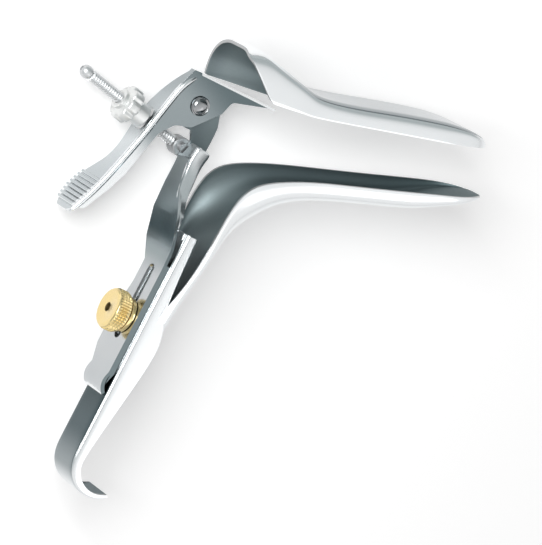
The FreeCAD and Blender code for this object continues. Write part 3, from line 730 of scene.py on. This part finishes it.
class SPECULUM_OT_thumb_lever(bpy.types.Operator):
    """Thumb lever with its ear, ridged pad and rolled fold"""
    bl_idname = "speculum.thumb_lever"
    bl_label = "Thumb lever"

    def execute(self, context):
        lever = eased_copy("thumb_lever", "polished_steel", "upper_body", "polished_steel",
                           bevel=0.35, shape=round_fold)
        fold_roll()
        # Painted shade on the ear's flat faces and on the strip; the strap's top gets the rougher
        # satin steel.
        strip = Vector((-0.6, 0.8, 0))
        ear_top, strap_x, strap_z = at(0, 0, -17).z, at(-2, 0, 0).x, at(0, 0, -19.2).z
        finish_where(lever, "ear_steel", lambda spot, normal: abs(normal.z) > 0.9
                     and spot.z < ear_top)
        finish_where(lever, "strip_steel", lambda spot, normal: normal.dot(strip) > 0.6
                     and abs(normal.z) < 0.3)
        finish_where(lever, "satin_steel", lambda spot, normal: normal.y > 0.8
                     and spot.x > strap_x and spot.z > strap_z)
        return {"FINISHED"}


class SPECULUM_OT_rivets(bpy.types.Operator):
    """Hinge rivet and swivel pin with domed heads"""
    bl_idname = "speculum.rivets"
    bl_label = "Rivets"

    def execute(self, context):
        rivet = round_bar("hinge_rivet_domed", [
            (-22.18, 0.05), (-22.15, 1.6), (-21.9, 3.0), (-21.5, 3.9), (-21.2, 4.2), (-21.2, 3.0),
            (-17.6, 3.0), (-17.6, 4.0), (-17.35, 4.25), (-17.05, 4.2), (-16.95, 3.9),
            (-17.15, 3.5), (-17.1, 3.25), (-16.7, 2.9), (-16.35, 2.1), (-16.2, 1.1),
            (-16.16, 0.05)], ACROSS, at(0, 0, 0))
        # The rivet's darker finish is painted shade.
        finish_piece(rivet, "rivet_steel", "frame_body", "turned_steel", "hinge_rivet")
        pin = round_bar("swivel_pin_domed", [
            (-30.4, 0.05), (-30.38, 1.2), (-30.15, 2.3), (-29.8, 2.95), (-29.5, 3.2), (-29.5, 2.0),
            (-19.7, 2.0), (-19.7, 0.05)], ACROSS, at(0, 0, 0) + (SWIVEL - at(0, 0, SWIVEL_Z)))
        # The pin's darker finish is painted shade.
        finish_piece(pin, "eye_steel", "frame_body", "turned_steel", "swivel_pin")
        return {"FINISHED"}


def knurled_band(seat, count):
    """A band of that many spokes whose rows step in and out, round the knob on its seat."""
    rows, foot, tall = 9, 0.9, 5.7
    crest, valley, rim, odd_row_dip = 9.3, 8.7, 8.6, 0.22
    step = tall / (rows - 1)
    deselect()
    bpy.ops.mesh.primitive_circle_add(vertices=count, radius=crest * MM, fill_type="NOTHING",
                                      location=(0, 0, foot * MM))
    band = bpy.context.object
    band.name = "clamp_knob_knurl"
    start_edit()
    for _ in range(rows - 1):
        bpy.ops.mesh.extrude_region_move(TRANSFORM_OT_translate={"value": (0, 0, step * MM)})
    end_edit()
    bpy.ops.object.transform_apply(location=True)
    for v in band.data.vertices:
        row = round((v.co.z / MM - foot) / step)
        spoke = round(math.atan2(v.co.y, v.co.x) / (2 * math.pi) * count)
        high = crest if spoke % 2 == 0 else valley
        if row % 2 == 1:
            high -= odd_row_dip
        if row in (0, rows - 1):
            high = rim
        v.co.x, v.co.y = (c * high * MM / math.hypot(v.co.x, v.co.y) for c in v.co.xy)
    set_along(band, BACK, seat)
    return band


class SPECULUM_OT_knob(bpy.types.Operator):
    """Clamp knob with a diamond knurl, a plain rounded face and an eye"""
    bl_idname = "speculum.knob"
    bl_label = "Clamp knob"

    def execute(self, context):
        seat = on_handle(STUD_T, SEAT_K)
        body = round_bar("clamp_knob_turned", [
            (0.0, 2.58), (0.0, 7.4), (0.35, 8.0), (0.8, 8.65), (6.7, 8.65), (7.2, 8.25),
            (7.45, 7.65), (7.5, 7.1), (7.42, 6.7), (7.35, 2.1), (7.1, 1.75), (5.0, 1.7),
            (5.0, 0.05)], BACK, seat, sides=96)
        band = knurled_band(seat, context.scene.speculum_sizes.knurls * 2)
        finish_piece(body, "brass", "knob_body", "brass", "clamp_knob")
        # Painted shade: the faces inside the knob's eye get a dark brass.
        high, eye = 4.0 * MM, 2.0 * MM
        finish_where(body, "hollow_brass", lambda spot, normal: (spot - seat).dot(BACK) > high
                     and (spot - seat).cross(BACK).length < eye)
        finish_piece(band, "brass", "knob_body", "brass", angle=20)
        return {"FINISHED"}


class SPECULUM_OT_screw(bpy.types.Operator):
    """Angle screw: swivel eye, threaded rod, riveted end and lobed nut"""
    bl_idname = "speculum.screw"
    bl_label = "Angle screw"

    def execute(self, context):
        eye = round_bar("screw_eye", [
            (-29.2, 2.08), (-29.2, 3.8), (-28.8, 4.2), (-21.9, 4.2), (-21.5, 3.8), (-21.5, 2.08)],
            ACROSS, at(0, 0, 0) + (SWIVEL - at(0, 0, SWIVEL_Z)))
        # The eye's darker finish is painted shade.
        finish_piece(eye, "eye_steel", "screw_body", "turned_steel", "angle_screw")
        self.thread(context.scene.speculum_sizes.thread_pitch)
        end = round_bar("screw_end_stop", [
            (-2.3, 0.05), (-2.3, 2.0), (-2.1, 2.4), (-1.4, 2.75), (0.0, 2.9), (1.2, 2.7),
            (2.1, 2.1), (2.7, 1.2), (2.75, 0.95), (2.0, 0.8), (1.9, 0.05)],
            SCREW, SWIVEL + SCREW * (SCREW_LENGTH * MM))
        finish_piece(end, "turned_steel", "screw_body", "turned_steel", "screw_end_cap")
        self.nut()
        return {"FINISHED"}

    def thread(self, pitch):
        """One turn of the thread's outline, spun on from the eye to just before the end."""
        root, crest, start, spare = 2.0, 2.5, 3.6, 2.6
        deselect()
        bpy.ops.mesh.primitive_circle_add(vertices=4, radius=1, fill_type="NOTHING")
        rod = bpy.context.object
        rod.name = "screw_thread"
        # Radius and share of the pitch. The fourth edge, from end to end, is taken away.
        outline = [(root, 0.0), (crest, 0.38), (crest, 0.62), (root, 1.0)]
        for v, (r, share) in zip(rod.data.vertices, outline):
            v.co = (r * MM, 0, share * pitch * MM)
        bpy.ops.object.mode_set(mode="EDIT")
        mesh = bmesh.from_edit_mesh(rod.data)
        for edge in list(mesh.edges):
            if abs(edge.verts[0].co.z - edge.verts[1].co.z) > 0.9 * pitch * MM:
                mesh.edges.remove(edge)
        bmesh.update_edit_mesh(rod.data)
        bpy.ops.object.mode_set(mode="OBJECT")
        turns = int((SCREW_LENGTH - spare - start) / pitch)
        add(rod, "SCREW", axis="Z", steps=28, render_steps=28, iterations=turns,
            screw_offset=pitch * MM, use_merge_vertices=True, merge_threshold=WELD,
            use_normal_calculate=True)
        apply_all(rod)
        set_along(rod, SCREW, SWIVEL + SCREW * (start * MM))
        start_edit()
        bpy.ops.mesh.fill_holes(sides=0)
        end_edit()
        finish_piece(rod, "turned_steel", "screw_body", "turned_steel", angle=30)

    def nut(self):
        """The nut: a hub and a flange whose rim dips in between its lobes."""
        place, lobes, rim, dip = 34.1, 8, 6.6, 0.13
        nut = round_bar("angle_nut_lobed", [
            (-12.4, 2.58), (-12.4, 4.7), (-11.9, 5.2), (-5.9, 5.2), (-5.6, 5.5), (-5.6, 7.2),
            (-5.2, 7.8), (-4.8, 8.0), (-0.8, 8.0), (-0.4, 7.8), (0.0, 7.2), (0.0, 4.9),
            (0.3, 4.5), (1.9, 4.5), (2.2, 4.1), (2.2, 2.58), (-12.4, 2.58)],
            ACROSS, (0, 0, 0), sides=128)
        for v in nut.data.vertices:
            if math.hypot(v.co.x, v.co.y) > rim * MM:
                turn = math.atan2(v.co.y, v.co.x)
                share = 1 - dip * max(0.0, -math.cos(lobes * turn)) ** 1.5
                v.co.x *= share
                v.co.y *= share
        set_along(nut, SCREW, SWIVEL + SCREW * (place * MM))
        finish_piece(nut, "satin_steel", "nut_body", "satin_steel", "angle_nut", angle=40)


def seen_ray(nodes, links):
    """Socket that is 1 for what the camera sees, directly, mirrored or through glass."""
    path = nodes.new("ShaderNodeLightPath")
    last = path.outputs["Is Camera Ray"]
    for kind in ("Is Glossy Ray", "Is Transmission Ray"):
        either = nodes.new("ShaderNodeMath")
        either.operation = "MAXIMUM"
        links.new(last, either.inputs[0])
        links.new(path.outputs[kind], either.inputs[1])
        last = either.outputs[0]
    return last


def lamp(name, place, wide, high, power):
    """A soft rectangular lamp that is aimed at the origin."""
    data = bpy.data.lights.new(name, "AREA")
    data.shape = "RECTANGLE"
    data.size, data.size_y = wide, high
    data.energy = power
    thing = bpy.data.objects.new(name, data)
    bpy.context.scene.collection.objects.link(thing)
    thing.location = place
    thing.rotation_euler = Vector(place).to_track_quat("Z", "Y").to_euler()


class SPECULUM_OT_stage(bpy.types.Operator):
    """Pale floor, soft lamps, studio surroundings and the camera"""
    bl_idname = "speculum.stage"
    bl_label = "Stage"

    def execute(self, context):
        self.floor(context.scene)
        self.surroundings(context.scene)
        lamp("key", (-0.78, 0.44, 0.96), 0.7, 0.7, 12.0)
        lamp("fill", (0.5, -0.7, 1.0), 0.9, 0.7, 1.5)
        self.camera(context.scene)
        context.scene.view_settings.view_transform = "Standard"
        return {"FINISHED"}

    def floor(self, scene):
        """A matt floor, which glows a little where it is seen."""
        glow = 0.27
        deselect()
        bpy.ops.mesh.primitive_plane_add(size=6.0, location=(0, 0, 0))
        floor = bpy.context.object
        floor.name = "floor"
        mat = bpy.data.materials.new("floor_white")
        mat.use_nodes = True
        nodes, links = mat.node_tree.nodes, mat.node_tree.links
        shader = nodes["Principled BSDF"]
        shader.inputs["Roughness"].default_value = 0.9
        shader.inputs["Specular IOR Level"].default_value = 0.0
        shader.inputs["Base Color"].default_value = (*scene.speculum_finish.floor, 1)
        shader.inputs["Emission Color"].default_value = (1, 1, 1, 1)
        lift = nodes.new("ShaderNodeMath")
        lift.operation = "MULTIPLY"
        lift.inputs[1].default_value = glow
        links.new(seen_ray(nodes, links), lift.inputs[0])
        links.new(lift.outputs[0], shader.inputs["Emission Strength"])
        floor.data.materials.append(mat)

    def surroundings(self, scene):
        """A grey room that is brightest on one side, and dimmer as a source of light."""
        world = bpy.data.worlds.new("studio")
        scene.world = world
        world.use_nodes = True
        nodes, links = world.node_tree.nodes, world.node_tree.links
        look = nodes.new("ShaderNodeTexCoord")
        dot = nodes.new("ShaderNodeVectorMath")
        dot.operation = "DOT_PRODUCT"
        dot.inputs[1].default_value = Vector((0.25, -0.80, 0.25)).normalized()
        links.new(look.outputs["Generated"], dot.inputs[0])
        ramp = colour_ramp(nodes, [(0.0, (0.48, 0.52, 0.525)), (0.62, LIGHT)], "EASE")
        links.new(dot.outputs["Value"], ramp.inputs["Fac"])
        both = nodes.new("ShaderNodeMix")
        both.data_type = "RGBA"
        both.inputs["A"].default_value = (0.34, 0.34, 0.34, 1)
        links.new(seen_ray(nodes, links), both.inputs["Factor"])
        links.new(ramp.outputs["Color"], both.inputs["B"])
        links.new(both.outputs["Result"], nodes["Background"].inputs["Color"])

    def camera(self, scene):
        """The camera that was fitted to the object's outline."""
        aim, distance = at(25.3, -58.3, 26.6), 2.0
        right = Vector((0.8836, 0.1961, 0.4249)).normalized()
        back = right.cross(Vector((-0.0870, 0.9606, -0.2626))).normalized()
        up = back.cross(right).normalized()
        spot = aim + back * distance
        data = bpy.data.cameras.new("camera")
        data.lens = 317.0
        data.sensor_width = 36.0
        data.clip_end = 20
        camera = bpy.data.objects.new("camera", data)
        scene.collection.objects.link(camera)
        rows = [(right[i], up[i], back[i], spot[i]) for i in range(3)]
        camera.matrix_world = Matrix((*rows, (0, 0, 0, 1)))
        scene.camera = camera


class SPECULUM_PT_panel(bpy.types.Panel):
    """Sizes, finishes and steps of the speculum"""
    bl_idname = "SPECULUM_PT_panel"
    bl_label = "Speculum"
    bl_space_type = "VIEW_3D"
    bl_region_type = "UI"
    bl_category = "Speculum"

    def draw(self, context):
        layout = self.layout
        for group in (context.scene.speculum_sizes, context.scene.speculum_finish):
            for key in group.__annotations__:
                layout.prop(group, key)
        for step in STEPS:
            layout.operator(step.bl_idname)


STEPS = (SPECULUM_OT_stage, SPECULUM_OT_lower_blade, SPECULUM_OT_upper_blade, SPECULUM_OT_handle,
         SPECULUM_OT_frame, SPECULUM_OT_thumb_lever, SPECULUM_OT_rivets, SPECULUM_OT_knob,
         SPECULUM_OT_screw)
CLASSES = (SpeculumSizes, SpeculumFinish) + STEPS + (SPECULUM_PT_panel,)


def register():
    for cls in CLASSES:
        bpy.utils.register_class(cls)
    bpy.types.Scene.speculum_sizes = bpy.props.PointerProperty(type=SpeculumSizes)
    bpy.types.Scene.speculum_finish = bpy.props.PointerProperty(type=SpeculumFinish)


def unregister():
    del bpy.types.Scene.speculum_finish
    del bpy.types.Scene.speculum_sizes
    for cls in reversed(CLASSES):
        bpy.utils.unregister_class(cls)


def main():
    register()
    for step in STEPS:
        group, name = step.bl_idname.split(".")
        result = getattr(getattr(bpy.ops, group), name)()
        if "FINISHED" not in result:
            raise RuntimeError("%s did not finish" % step.bl_idname)


if __name__ == "__main__":
    main()
